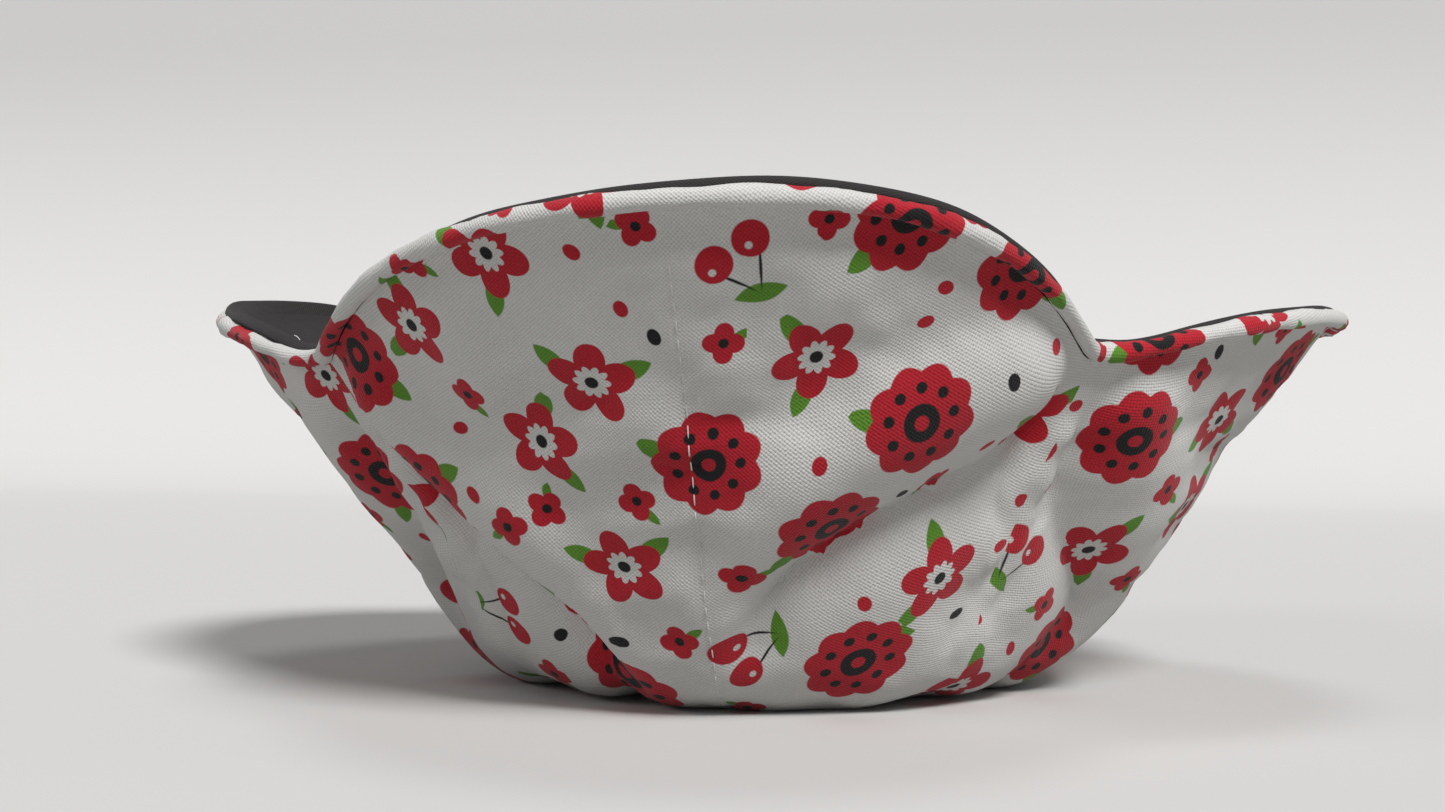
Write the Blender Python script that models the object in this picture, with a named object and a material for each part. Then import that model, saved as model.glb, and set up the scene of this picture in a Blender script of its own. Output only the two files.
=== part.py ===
"""A padded cloth bowl cozy: two quilted squares of cotton and batting, darted into a four-lobed bowl.

Azimuths are in degrees from +X towards +Y, and the lobes point along -Y, +X, +Y and -X.
A place on the bowl is an azimuth and a share of the way from the base's centre to the rim.
"""

import bmesh
import bpy
import numpy as np

MM = 0.001

# Layers, in millimetres, either side of the sheet in the middle of the padding
FABRIC = 0.45
BATTING = 1.7
GAP = 0.3
BATTING_IN = GAP / 2
BATTING_OUT = BATTING_IN + BATTING
FABRIC_IN = BATTING_OUT + GAP
FABRIC_OUT = FABRIC_IN + FABRIC

# The rim: a roll over a sewn crease, with the seam between the cottons on top of it
ROLL_RADIUS = FABRIC_OUT
CREASE_BELOW_RIM = 4.2
CREASE_SQUEEZE = 1.0
SEAM_ANGLE = 100.0
SEAM_GAP_ANGLE = np.degrees(GAP / (ROLL_RADIUS - FABRIC)) + 1.0

# Main sizes: the longest lobe's reach from the middle and its tip's height, over the middle sheet
REACH = 112.0
HEIGHT = 75.8

# The four lobes in order of azimuth, from the one on -Y, as shares of the main sizes
LOBE_AZIMUTH = (-90.0, 0.0, 90.0, 180.0)
TIP_REACH = (1.0, 0.973, 1.0, 0.955)
TIP_RISE = (1.0, 0.894, 0.976, 0.930)
SHOULDER_TILT = (0.022, 0.0, -0.020, -0.040)

# The four darts, each after the lobe of the same place in the lists above
DART_REACH = (0.777, 0.804, 0.830, 0.839)
DART_RISE = (0.759, 0.752, 0.752, 0.745)
HALF_LOBE = 45.0
NOTCH_SOFTNESS = 4.0
PLAN_ROUNDNESS = 1.7
RISE_ROUNDNESS = 2.5

# Base: nearly square, its corners under the darts
BASE_AT_LOBE = 0.393 * REACH
BASE_AT_DART = 0.4375 * REACH
FOOT_STEPS = (0.0, 0.25, 0.55, 0.85, 1.0)

# Wall profiles from base to rim: shares of the way out and of the way up
LOBE_OUT = (0.18, 0.39, 0.58, 0.77, 1.0)
LOBE_UP = (0.06, 0.27, 0.55, 0.80, 1.0)
LOBE_BELLY = (0.0, 0.01, 0.0, -0.07)
DART_OUT = (0.14, 0.34, 0.58, 0.80, 1.0)
DART_UP = (0.10, 0.32, 0.58, 0.80, 1.0)

# Fold lines from each dart's top down to the foot of the lobe, before and after the lobe's middle
FOLD_FOOT = ((0.22, 0.44), (0.34, 0.30), (0.28, 0.36), (0.40, 0.26))
FOLD_RISE = ((0.50, 0.38), (0.42, 0.46), (0.46, 0.42), (0.36, 0.48))
FOLD_END = ((20.0, -4.0), (12.0, 16.0), (12.0, 4.0), (14.0, 18.0))
FOLD_TOP = 0.97
FOLD_STEEPNESS = 10
FOLD_DEPTH = ((3.6, 4.4), (3.2, 3.0), (3.0, 3.6), (3.6, 3.0))
FOLD_WIDTH = 7.0
FOLD_CREASE = 3.0
FOLD_CREST = 0.55
FOLD_CREST_ABOVE = 15.0
FOLD_CREST_WIDTH = 10.0
FOLD_FADE = (12.0, 5.0)
FOLD_LIFT = 14.0
FOLD_CLEAR_OF_RIM = 13.0
DART_GROOVE = 1.4
DART_GROOVE_WIDTH = 5.0
DART_LENGTH = 64.0
DART_GROOVE_EASE = 0.5

# Mesh: facets round the bowl and rings up its wall
FACETS = 56
DART_CROWDING = 0.25
WALL_RINGS = (0.13, 0.235, 0.33, 0.42, 0.51, 0.60, 0.69, 0.78, 0.87)
ROLL_ANGLES = (-10.0, 30.0, 65.0)
BATTING_ROLL_ANGLES = (0.0, 50.0)
PROFILE_SAMPLES = 161

# Steps either side of a point, as a share and in degrees, that its normal is taken from
SHARE_STEP = 0.006
TURN_STEP = 0.6


def smooth_step(x):
    x = np.clip(x, 0.0, 1.0)
    return x * x * (3 - 2 * x)


def spline_weights(count, samples):
    """Weights of each control point along a clamped cubic B-spline."""
    spans = count - 3
    knots = np.concatenate([np.zeros(3), np.linspace(0, 1, spans + 1), np.ones(3)])
    t = np.linspace(0, 1 - 1e-9, samples)[:, None]
    weights = ((knots[:-1] <= t) & (t < knots[1:])).astype(float)
    for degree in (1, 2, 3):
        rising = knots[degree:-1] - knots[: -degree - 1]
        falling = knots[degree + 1 :] - knots[1:-degree]
        up = (t - knots[: -degree - 1]) / np.where(rising > 0, rising, 1)
        down = (knots[degree + 1 :] - t) / np.where(falling > 0, falling, 1)
        weights = weights[:, :-1] * up * (rising > 0) + weights[:, 1:] * down * (falling > 0)
    return weights


def in_lobe(azimuths):
    """Which lobe each azimuth is in, and its angle from that lobe's middle."""
    turned = (azimuths - LOBE_AZIMUTH[0] + HALF_LOBE) % 360
    lobe = (turned // (2 * HALF_LOBE)).astype(int) % 4
    return lobe, turned - 2 * HALF_LOBE * lobe - HALF_LOBE


def lobe_shape(azimuths):
    """Radius and height of the rim, and a share that is 1 at a lobe's middle and 0 at a dart."""
    lobe, angle = in_lobe(azimuths)
    from_dart = HALF_LOBE - np.abs(angle)
    softened = np.hypot(from_dart, NOTCH_SOFTNESS) - NOTCH_SOFTNESS
    whole = np.hypot(HALF_LOBE, NOTCH_SOFTNESS) - NOTCH_SOFTNESS
    to_dart = np.clip(1 - softened / whole, 1e-6, 1)
    across = smooth_step(0.5 + angle / (2 * HALF_LOBE))

    def at_dart(values):
        values = np.array(values)
        return values[lobe - 1] * (1 - across) + values[lobe] * across

    reach = at_dart(DART_REACH)
    reach += (np.array(TIP_REACH)[lobe] - reach) * (1 - to_dart**PLAN_ROUNDNESS)
    rise = at_dart(DART_RISE)
    rise += (np.array(TIP_RISE)[lobe] - rise) * (1 - to_dart**RISE_ROUNDNESS)
    rise += np.array(SHOULDER_TILT)[lobe] * np.sin(np.radians(4 * angle))
    return REACH * reach, HEIGHT * rise, 1 - to_dart**2


def fold_push(azimuths, lengths, radii, heights):
    """How far the cloth stands out of its plain shape: a hollow along each fold and a swell above it."""
    lobe, angle = in_lobe(azimuths)
    half = (angle > 0).astype(int)
    turn = np.abs(angle) / HALF_LOBE
    foot = np.array(FOLD_FOOT)[lobe, half]
    rise = np.array(FOLD_RISE)[lobe, half]
    end = np.array(FOLD_END)[lobe, half]
    extra = FOLD_TOP - foot - rise
    line = foot + rise * turn + extra * turn**FOLD_STEEPNESS
    slope = (rise + extra * FOLD_STEEPNESS * turn ** (FOLD_STEEPNESS - 1)) / np.radians(HALF_LOBE)
    whole = lengths[:, -1:]
    share = lengths / whole
    tilt = slope[:, None] * whole / np.maximum(radii, 1.0)
    above = (share - line[:, None]) * whole / np.hypot(1, tilt)
    hollow = np.exp((FOLD_CREASE - np.hypot(above, FOLD_CREASE)) / FOLD_WIDTH)
    swell = FOLD_CREST * np.exp(-(((above - FOLD_CREST_ABOVE) / FOLD_CREST_WIDTH) ** 2))
    fade = smooth_step((np.abs(angle) - end) / FOLD_FADE[0])
    fade *= smooth_step((HALF_LOBE - np.abs(angle)) / FOLD_FADE[1])
    depth = np.array(FOLD_DEPTH)[lobe, half] * fade
    push = depth[:, None] * (swell - hollow) * smooth_step(heights / FOLD_LIFT)
    push *= smooth_step((1 - share) * whole / FOLD_CLEAR_OF_RIM)

    arc = np.radians(HALF_LOBE - np.abs(angle))[:, None] * radii
    below_rim = (1 - share) * whole / DART_LENGTH
    groove = DART_GROOVE * np.exp(-((arc / DART_GROOVE_WIDTH) ** 2))
    return push - groove * smooth_step((1 - below_rim) / DART_GROOVE_EASE)


def middle_sheet(azimuths, shares):
    """Points of the sheet in the middle of the padding, one row per azimuth."""
    radius, height, lobeness = lobe_shape(azimuths)
    share = lobeness[:, None]
    base = BASE_AT_DART + (BASE_AT_LOBE - BASE_AT_DART) * share
    out = np.array(DART_OUT) * (1 - share) + np.array(LOBE_OUT) * share
    up = np.array(DART_UP) * (1 - share) + np.array(LOBE_UP) * share
    out[:, 1:3] += np.array(LOBE_BELLY)[in_lobe(azimuths)[0]][:, None] * share
    control_r = np.hstack([base * np.array(FOOT_STEPS), base + out * (radius[:, None] - base)])
    control_z = np.hstack([np.zeros((len(azimuths), len(FOOT_STEPS))), up * height[:, None]])
    weights = spline_weights(control_r.shape[1], PROFILE_SAMPLES)
    r = control_r @ weights.T
    z = control_z @ weights.T
    steps = np.hypot(np.diff(r), np.diff(z))
    lengths = np.hstack([np.zeros((len(azimuths), 1)), np.cumsum(steps, axis=1)])
    push = fold_push(azimuths, lengths, r, z)
    along_r, along_z = np.gradient(r, axis=1), np.gradient(z, axis=1)
    scale = push / np.hypot(along_r, along_z)
    r, z = r + scale * along_z, z - scale * along_r
    rows = []
    for i, turn in enumerate(np.radians(azimuths)):
        places = shares[i] * lengths[i, -1]
        at_r = np.interp(places, lengths[i], r[i])
        at_z = np.interp(places, lengths[i], z[i])
        rows.append(np.stack([at_r * np.cos(turn), at_r * np.sin(turn), at_z], axis=-1))
    return np.array(rows), lengths[:, -1]


def unit(vectors):
    return vectors / np.maximum(np.linalg.norm(vectors, axis=-1, keepdims=True), 1e-9)


def layer_points(azimuths, rings):
    """Points of one layer: each ring has a share, a length below it, an offset and a rise."""
    share, below, offset, rise = np.array(rings).T
    whole = middle_sheet(azimuths, np.ones((len(azimuths), 1)))[1]
    shares = share - below / whole[:, None]
    points, _ = middle_sheet(azimuths, shares)
    low, high = np.clip(shares - SHARE_STEP, 0, 1), np.clip(shares + SHARE_STEP, 0, 1)
    along = unit(middle_sheet(azimuths, high)[0] - middle_sheet(azimuths, low)[0])
    after, before = (middle_sheet(azimuths + turn, shares)[0] for turn in (TURN_STEP, -TURN_STEP))
    normal = unit(np.cross(after - before, along))
    return points + normal * offset[:, None] + along * rise[:, None]


def wall_rings(offset, squeezed):
    """Rings up one face of a layer, as far as the crease under the roll."""
    rings = [(share, 0.0, offset, 0.0) for share in WALL_RINGS]
    return rings + [(1.0, CREASE_BELOW_RIM, squeezed, 0.0)]


def roll_rings(radius, angles, side):
    """Rings over the rim, at angles up from the outer face (side 1) or from the inner one (-1)."""
    turns = np.radians(angles)
    return [(1.0, 0.0, side * radius * np.cos(a), radius * np.sin(a)) for a in turns]


def fabric_rings(side, last_angle):
    """One cotton face, from the base up over the rim to the seam, and back under itself."""
    angles = ROLL_ANGLES + (last_angle,)
    face = wall_rings(side * FABRIC_OUT, side * (FABRIC_OUT - CREASE_SQUEEZE))
    face += roll_rings(ROLL_RADIUS, angles, side)
    back = wall_rings(side * FABRIC_IN, side * (FABRIC_IN - CREASE_SQUEEZE))
    back += roll_rings(ROLL_RADIUS - FABRIC, angles, side)
    return face, back


def batting_rings(side):
    """One batting, filling half of the roll."""
    radius = ROLL_RADIUS - FABRIC - GAP
    top = np.degrees(np.arccos(BATTING_IN / radius))
    face = wall_rings(side * BATTING_OUT, side * (BATTING_OUT - CREASE_SQUEEZE))
    face += roll_rings(radius, BATTING_ROLL_ANGLES + (top,), side)
    return face, wall_rings(side * BATTING_IN, side * BATTING_IN)


def material(name, colour, roughness):
    made = bpy.data.materials.new(name)
    made.use_nodes = True
    shader = made.node_tree.nodes["Principled BSDF"]
    shader.inputs["Base Color"].default_value = (*colour, 1.0)
    shader.inputs["Roughness"].default_value = roughness
    return made


def facet_azimuths():
    """Azimuths of the facets' edges, closer together beside the darts."""
    per_lobe = FACETS // len(LOBE_AZIMUTH)
    across = np.arange(FACETS) / per_lobe
    crowded = across - DART_CROWDING * np.sin(2 * np.pi * across) / (2 * np.pi)
    return LOBE_AZIMUTH[0] - HALF_LOBE + 2 * HALF_LOBE * crowded


def level(ring):
    """Orders the rings of a layer from the base to the top of the rim."""
    share, below, _, rise = ring
    return share, rise - below


def split_along_folds(mesh, marks, rings):
    """Cuts each quad the same way in every layer: along the folds, which fall towards a lobe's middle."""
    per_lobe = FACETS // len(LOBE_AZIMUTH)
    for face in [face for face in mesh.faces if len(face.verts) == 4]:
        facets = {marks[vertex][0] for vertex in face.verts}
        before = next(facet for facet in facets if (facet + 1) % FACETS in facets)
        base_side = min((marks[vertex][1] for vertex in face.verts), key=lambda ring: level(rings[ring]))
        falls = before % per_lobe < per_lobe // 2
        ends = [v for v in face.verts if ((marks[v][0] == before) == (marks[v][1] == base_side)) != falls]
        bmesh.utils.face_split(face, *ends)


def closed_layer(name, outer, inner, colour, roughness, collection):
    """A UV sphere whose lower half is laid along one face of a layer and its upper half along the other."""
    rings = outer + inner[::-1]
    places = layer_points(facet_azimuths(), rings)
    poles = [np.array([0.0, 0.0, -face[0][2]]) for face in (outer, inner)]
    mesh = bmesh.new()
    bmesh.ops.create_uvsphere(mesh, u_segments=FACETS, v_segments=len(rings) + 1, radius=1)
    marks = {}
    for vertex in mesh.verts:
        ring = round(np.arccos(np.clip(-vertex.co.z, -1, 1)) / np.pi * (len(rings) + 1)) - 1
        facet = round(np.arctan2(vertex.co.y, vertex.co.x) / (2 * np.pi) * FACETS) % FACETS
        marks[vertex] = (facet, ring)
    split_along_folds(mesh, marks, rings)
    for vertex, (facet, ring) in marks.items():
        on_ring = 0 <= ring < len(rings)
        vertex.co = (places[facet, ring] if on_ring else poles[ring > 0]) * MM
    data = bpy.data.meshes.new(name)
    mesh.to_mesh(data)
    mesh.free()
    data.materials.append(material(name, colour, roughness))
    made = bpy.data.objects.new(name, data)
    collection.objects.link(made)
    return made


def stand_on_origin(parts):
    """Moves the meshes so that the object stands on z = 0 with its box's middle over the origin."""
    corners = np.array([vertex.co for part in parts for vertex in part.data.vertices])
    low, high = corners.min(axis=0), corners.max(axis=0)
    shift = ((low[0] + high[0]) / 2, (low[1] + high[1]) / 2, low[2])
    for part in parts:
        for vertex in part.data.vertices:
            vertex.co = [c - s for c, s in zip(vertex.co, shift)]


def build():
    for old in list(bpy.data.objects):
        bpy.data.objects.remove(old)
    cozy = bpy.data.collections.new("bowl_cozy")
    bpy.context.scene.collection.children.link(cozy)
    cover_face, cover_back = fabric_rings(1, SEAM_ANGLE)
    lining_face, lining_back = fabric_rings(-1, 180 - SEAM_ANGLE - SEAM_GAP_ANGLE)
    outer_face, outer_back = batting_rings(1)
    inner_face, inner_back = batting_rings(-1)
    parts = [
        closed_layer("outer_cover", cover_face, cover_back, (0.80, 0.78, 0.74), 0.9, cozy),
        closed_layer("outer_batting", outer_face, outer_back, (0.86, 0.85, 0.81), 1.0, cozy),
        closed_layer("lining_batting", inner_back, inner_face, (0.86, 0.85, 0.81), 1.0, cozy),
        closed_layer("lining", lining_back, lining_face, (0.035, 0.032, 0.032), 0.95, cozy),
    ]
    stand_on_origin(parts)


build()
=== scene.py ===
"""Looks of the padded cloth bowl cozy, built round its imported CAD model.

The shape comes from the same middle sheet as the CAD model's, with more folds and finer detail.
Lengths are in millimetres until a mesh is made, and azimuths in degrees from +X towards +Y.
"""

import bmesh
import bpy
import numpy as np
from mathutils import Matrix, Vector


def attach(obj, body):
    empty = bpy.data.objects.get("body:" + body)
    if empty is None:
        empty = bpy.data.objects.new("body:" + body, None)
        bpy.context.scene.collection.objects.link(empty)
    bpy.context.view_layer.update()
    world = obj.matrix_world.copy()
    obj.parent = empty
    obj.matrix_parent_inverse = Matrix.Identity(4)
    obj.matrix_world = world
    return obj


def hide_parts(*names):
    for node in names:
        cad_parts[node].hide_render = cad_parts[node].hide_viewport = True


MM = 0.001

# Layers either side of the sheet in the middle of the padding
FABRIC = 0.45
FABRIC_OUT = 2.6
BATTING_IN = 0.15
BATTING_OUT = 1.85
BATTING_FILL = 0.6

# Main sizes: the longest lobe's reach from the middle and its tip's height, over the middle sheet
REACH = 112.0
HEIGHT = 75.8

# The four lobes in order of azimuth, from the one on -Y, as shares of the main sizes
LOBE_AZIMUTH = (-90.0, 0.0, 90.0, 180.0)
TIP_REACH = (1.0, 0.973, 1.0, 0.955)
TIP_RISE = (1.0, 0.894, 0.976, 0.930)
SHOULDER_TILT = (0.022, 0.0, -0.020, -0.040)

# The four darts, each after the lobe of the same place in the lists above
DART_REACH = (0.777, 0.804, 0.830, 0.839)
DART_RISE = (0.759, 0.752, 0.752, 0.745)
HALF_LOBE = 45.0
NOTCH_SOFTNESS = 4.0
PLAN_ROUNDNESS = 1.7
RISE_ROUNDNESS = 2.5

# Base: nearly square, its corners under the darts
BASE_AT_LOBE = 0.393 * REACH
BASE_AT_DART = 0.4375 * REACH
FOOT_STEPS = (0.0, 0.25, 0.55, 0.85, 1.0)

# Wall profiles from base to rim: shares of the way out and of the way up
LOBE_OUT = (0.18, 0.39, 0.58, 0.77, 1.0)
LOBE_UP = (0.06, 0.27, 0.55, 0.80, 1.0)
LOBE_BELLY = (0.0, 0.01, 0.0, -0.07)
DART_OUT = (0.14, 0.34, 0.58, 0.80, 1.0)
DART_UP = (0.10, 0.32, 0.58, 0.80, 1.0)

# Fold lines from each dart's top down to the foot of the lobe, before and after the lobe's middle
FOLD_FOOT = ((0.22, 0.44), (0.34, 0.30), (0.28, 0.36), (0.40, 0.26))
FOLD_RISE = ((0.50, 0.38), (0.42, 0.46), (0.46, 0.42), (0.36, 0.48))
FOLD_END = ((11.0, 0.0), (12.0, 16.0), (12.0, 4.0), (14.0, 18.0))
FOLD_TOP = 0.97
FOLD_STEEPNESS = 10
FOLD_DEPTH = ((6.6, 6.4), (3.8, 3.4), (3.4, 4.2), (4.0, 3.6))
FOLD_WIDTH = 5.5
FOLD_CREASE = 1.6
FOLD_CREST = 0.55
FOLD_CREST_ABOVE = 15.0
FOLD_CREST_WIDTH = 10.0
FOLD_FADE = (11.0, 5.0)
FOLD_LIFT = 10.0
FOLD_CLEAR_OF_RIM = 13.0

# Base's edge: where it turns up (angle in the lobe, height, width), and how its corners push out
FOOT_LIFTS = ((45.0, 2.6, 9.0), (-45.0, 2.4, 9.0), (-20.0, 2.2, 5.0))
FOOT_LIFT_HEIGHT = 14.0
CORNER_PUSH = 2.6
CORNER_WIDTH = 9.0
CORNER_HEIGHT = 7.0

# Dart seams: a broad groove, and the sharper line of the seam in it
DART_LENGTH = 64.0
DART_GROOVE = 1.4
DART_GROOVE_WIDTH = 5.0
DART_GROOVE_EASE = 0.5
DART_SEAM_DEPTH = 0.9
DART_SEAM_WIDTH = 1.3
DART_SEAM_START = 12.0

# The rim: the print rolls over a sewn crease, with the lining standing up behind it
ROLL_RADIUS = 1.6
ROLL_OUT = 0.95
ROLL_UP = 0.9
CREASE_BELOW = 1.0
CREASE_OFFSET = 0.5
CREASE_REACH = 9.0
LINING_EDGE_RADIUS = 1.5
LINING_EDGE_OUT = -1.1
LINING_EDGE_UP = 0.55
LINING_EDGE_ANGLES = np.linspace(185.0, 40.0, 9)
LINING_EDGE_LEAN = 0.2
LINING_LIFT = 0.9
LINING_LIFT_FADE = 9.0

# Edges that the cottons turn in under the roll: (out, up) from the sheet's edge, and lengths of cloth
COVER_TUCK = (
    (CREASE_OFFSET, -0.8),
    (0.55, -0.75),
    (0.3, -1.1),
    (0.2, -1.6),
    (CREASE_OFFSET - FABRIC, -1.6),
)
COVER_TUCK_LENGTHS = (-0.8, -0.4, 0.0, 0.4, 0.8)
LINING_TUCK = ((-0.45, -0.6), (-0.9, -1.6))
LINING_TUCK_LENGTHS = (6.0, 7.0)
LINING_EDGE_STEP = 0.6

# The CAD model's rim, whose box is centred over the origin
CAD_ROLL_RADIUS = 2.6
CAD_ROLL_ANGLES = (-10.0, 30.0, 65.0, 100.0)

# The flat cloth: a square whose corners become the lobes, with a dart in the middle of each side
SEWN_HALF_SIDE = 120.65
DART_HALF_WIDTH = 14.0

# Mesh: facets round the bowl, rings up its wall, sides round its roll; backs and padding have fewer rings
FACETS = 384
WALL_RINGS = 96
ROLL_SIDES = 18
PROFILE_SAMPLES = 401
FACE_RINGS = slice(0, WALL_RINGS - 1)
BACK_RINGS = slice(3, WALL_RINGS - 1, 4)
PADDING_RINGS = slice(3, WALL_RINGS - 8, 4)

# Cloth simulation: how each cotton settles over its padding between the seams that hold it
SIM_SCALE = 0.01
SIM_FRAMES = 20
SIM_COARSER = 3
SIM_SPARE_CLOTH = 0.015
SIM_PRESSURE = 1.0
SIM_HOLD = 0.30
SIM_QUILTING_HOLD = 0.45
SIM_SEAM_WIDTH = 1.6
SIM_RUFFLE = 0.12
SIM_RUFFLE_LENGTH = 14.0
SIM_QUALITY = 6
SIM_MASS = 0.2
SIM_STRETCHING = 25.0
SIM_SHEARING = 12.0
SIM_BENDING = 6.0
SIM_PINNING = 6.0
SETTLE_LIMIT = 1.2

# Quilting: stitched lines through the lobes' middles, which sink in on the wall and hardly on the base
QUILT_DEPTH = 0.30
QUILT_WIDTH = 1.5
QUILT_SINKS_FROM = 62.0
QUILT_SINKS_OVER = 20.0
QUILT_DEPTH_ON_BASE = 0.25
QUILT_EASED_BETWEEN_STITCHES = 0.3
STITCH_PITCH = 3.1
STITCH_LENGTH = 2.3
STITCHES_FROM = 2.0
STITCHES_BELOW_RIM = 9.0
STITCH_ARCH = (-0.12, 0.1, 0.15, 0.1, -0.12)
STITCH_WIDTHS = (0.45, 1.0, 1.0, 1.0, 0.45)
STITCH_SIDES = 6
THREAD_RADIUS = 0.13

# Ripples: height and wavelength, and how far from its seam each dies away
BROAD_LUMPS = (0.45, 52.0)
SMALL_LUMPS = (0.10, 16.0)
QUILT_PUCKERS = (0.13, 5.5, 5.0)
DART_TUCKS = (0.35, 8.0, 7.0)
HEM_PUCKERS = (0.22, 7.0, 5.0)
ROLL_PUFFS = (0.12, 9.0)
ROLL_DIMPLES = (0.05, 4.0)
LINING_EDGE_WAVES = (0.15, 30.0)
COVER_SEED = 11
LINING_SEED = 23
LINING_EDGE_SEED = 5
ROLL_SEED = 31

# How what would be under the floor is pressed flat on it
REST_SOFTNESS = 0.25
REST_CLEARANCE = 0.02

# Print: motifs on a loose lattice in the flat cloth, with buds and spots in the gaps between them
WHITE = (0.80, 0.79, 0.765, 1.0)
RED = (0.57, 0.015, 0.030, 1.0)
GREEN = (0.13, 0.33, 0.03, 1.0)
BLACK = (0.012, 0.011, 0.012, 1.0)
INK_EDGE = 0.22
MOTIF_SPACING = 24.0
MOTIF_JITTER = 0.34
BLOOMS_UNDER = 0.30
BERRIES_OVER = 0.76
BUD_SPACING = 10.2
BUD_JITTER = 0.75
BUD_SHIFT = (7.0, 3.0, 0.0)
BUDS_FROM_MOTIF = 12.2
BUDS_UNDER = 0.45
GREEN_SPOTS_OVER = 0.6
BLACK_SPOTS_OVER = 0.82
SPOT_RADIUS = 1.5
SPOT_SQUASH = (1.0, 1.35, 1.0)

# Cotton: its weave with painted shade between the threads, the slubs in its thread, broad unevenness, and
# lint on the lining.
# Slubs and lint are scaled per millimetre of flat cloth, the broad noise per metre, and bumps are in metres.
THREAD_PITCH = 0.5
WEAVE_CROSSING = 0.35
SLUB_SCALE = 2.2
BROAD_SCALE = 26.0
GAP_SHADE = (-0.55, 0.75)
SLUB_SHADE = (0.5, -0.12)
BROAD_SHADE = (0.5, -0.1)
UNEVENNESS = 0.35
NO_TINT = (1.0, 1.0, 1.0, 1.0)
# Darker tints for the painted shade between the threads, and for random patches from slubs and broad noise
PRINT_SHADE_AND_PATCH_TINT = (0.60, 0.585, 0.56, 1.0)
LINING_SHADE_AND_PATCH_TINT = (0.5, 0.5, 0.5, 1.0)
LINING = (0.043, 0.038, 0.038, 1.0)
LINT = (0.09, 0.085, 0.085, 1.0)
LINT_SCALE = 1.3
LINT_CUT = (9.0, -6.0)
LINT_SHARE = 0.5
WEAVE_BUMP = {"Strength": 0.55, "Distance": 0.00012}
SLUB_BUMP = {"Strength": 0.35, "Distance": 0.0003}
COTTON_ROUGHNESS = (0.2, 0.75)
PRINT_FINISH = {"Specular IOR Level": 0.25, "Sheen Weight": 0.15, "Sheen Roughness": 0.5}
LINING_FINISH = {"Specular IOR Level": 0.12, "Sheen Weight": 0.10, "Sheen Roughness": 0.5}

# Thread and batting, with scales per metre and bumps in metres
# The thread's darker colour is painted shade in the grooves of its twist
THREAD_SHADES = ((0.70, 0.69, 0.66, 1.0), (0.84, 0.83, 0.80, 1.0))
THREAD_TWIST_SCALE = 2600.0
THREAD_BUMP = {"Strength": 0.4, "Distance": 0.00005}
THREAD_ROUGHNESS = 0.6
# The batting's darker colour is painted shade in the hollows among its fibres
BATTING_SHADES = ((0.72, 0.71, 0.67, 1.0), (0.88, 0.87, 0.84, 1.0))
FIBRE_SCALE = 900.0
FIBRE_BUMP = {"Strength": 0.6, "Distance": 0.0004}

# The photograph's camera, over the bowl's frame, and the photograph's width in pixels
PHOTO_WIDTH = 1445
SENSOR_WIDTH = 36.0
CAMERA_FOCAL_PIXELS = 1649.9
CAMERA_AZIMUTH = 6.97
CAMERA_DISTANCE = 332.7
CAMERA_HEIGHT = 43.98
CAMERA_PITCH = -1.73
CAMERA_YAW = -1.57
CAMERA_ROLL = 0.6
CAMERA_NEAREST = 10.0

# Lamps: where each shines from and how strongly, over a pale world
SUNS = (
    ("key", (0.70, -1.05, 1.25), 2.65),
    ("side", (-1.1, -0.6, 0.6), 0.35),
    ("back", (-0.5, 1.1, 1.0), 0.8),
    ("top", (0.0, 0.1, 1.0), 0.4),
)
SUN_WIDTH = 16.0
WORLD_COLOUR = (0.93, 0.96, 1.0, 1.0)
WORLD_STRENGTH = 0.17

# Floor, in metres: it runs level from front to back and then curves up to its top edge
FLOOR = (0.73, 0.72, 0.705, 1.0)
FLOOR_BOUNCE = (0.40, 0.40, 0.39, 1.0)
FLOOR_ROUGHNESS = 0.85
FLOOR_HALF_WIDTH = 2.4
FLOOR_FRONT = -1.6
FLOOR_BACK = 1.2
FLOOR_CURVE = 0.6
FLOOR_CURVE_STEP = 6
FLOOR_TOP = 2.2


def smooth_step(x):
    x = np.clip(x, 0.0, 1.0)
    return x * x * (3 - 2 * x)


def bell(x, width):
    return np.exp(-((x / width) ** 2))


def unit(vectors):
    return vectors / np.maximum(np.linalg.norm(vectors, axis=-1, keepdims=True), 1e-9)


def spline_weights(count, samples):
    """Weights of each control point along a clamped cubic B-spline."""
    spans = count - 3
    knots = np.concatenate([np.zeros(3), np.linspace(0, 1, spans + 1), np.ones(3)])
    t = np.linspace(0, 1 - 1e-9, samples)[:, None]
    weights = ((knots[:-1] <= t) & (t < knots[1:])).astype(float)
    for degree in (1, 2, 3):
        rising = knots[degree:-1] - knots[: -degree - 1]
        falling = knots[degree + 1 :] - knots[1:-degree]
        up = (t - knots[: -degree - 1]) / np.where(rising > 0, rising, 1)
        down = (knots[degree + 1 :] - t) / np.where(falling > 0, falling, 1)
        weights = weights[:, :-1] * up * (rising > 0) + weights[:, 1:] * down * (falling > 0)
    return weights


def arc(angles, radii):
    """How far each angle reaches round the bowl, at each radius in its row."""
    return np.radians(angles)[:, None] * radii


def in_lobe(azimuths):
    """Which lobe each azimuth is in, and its angle from that lobe's middle."""
    turned = (azimuths - LOBE_AZIMUTH[0] + HALF_LOBE) % 360
    lobe = (turned // (2 * HALF_LOBE)).astype(int) % len(LOBE_AZIMUTH)
    return lobe, turned - 2 * HALF_LOBE * lobe - HALF_LOBE


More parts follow.
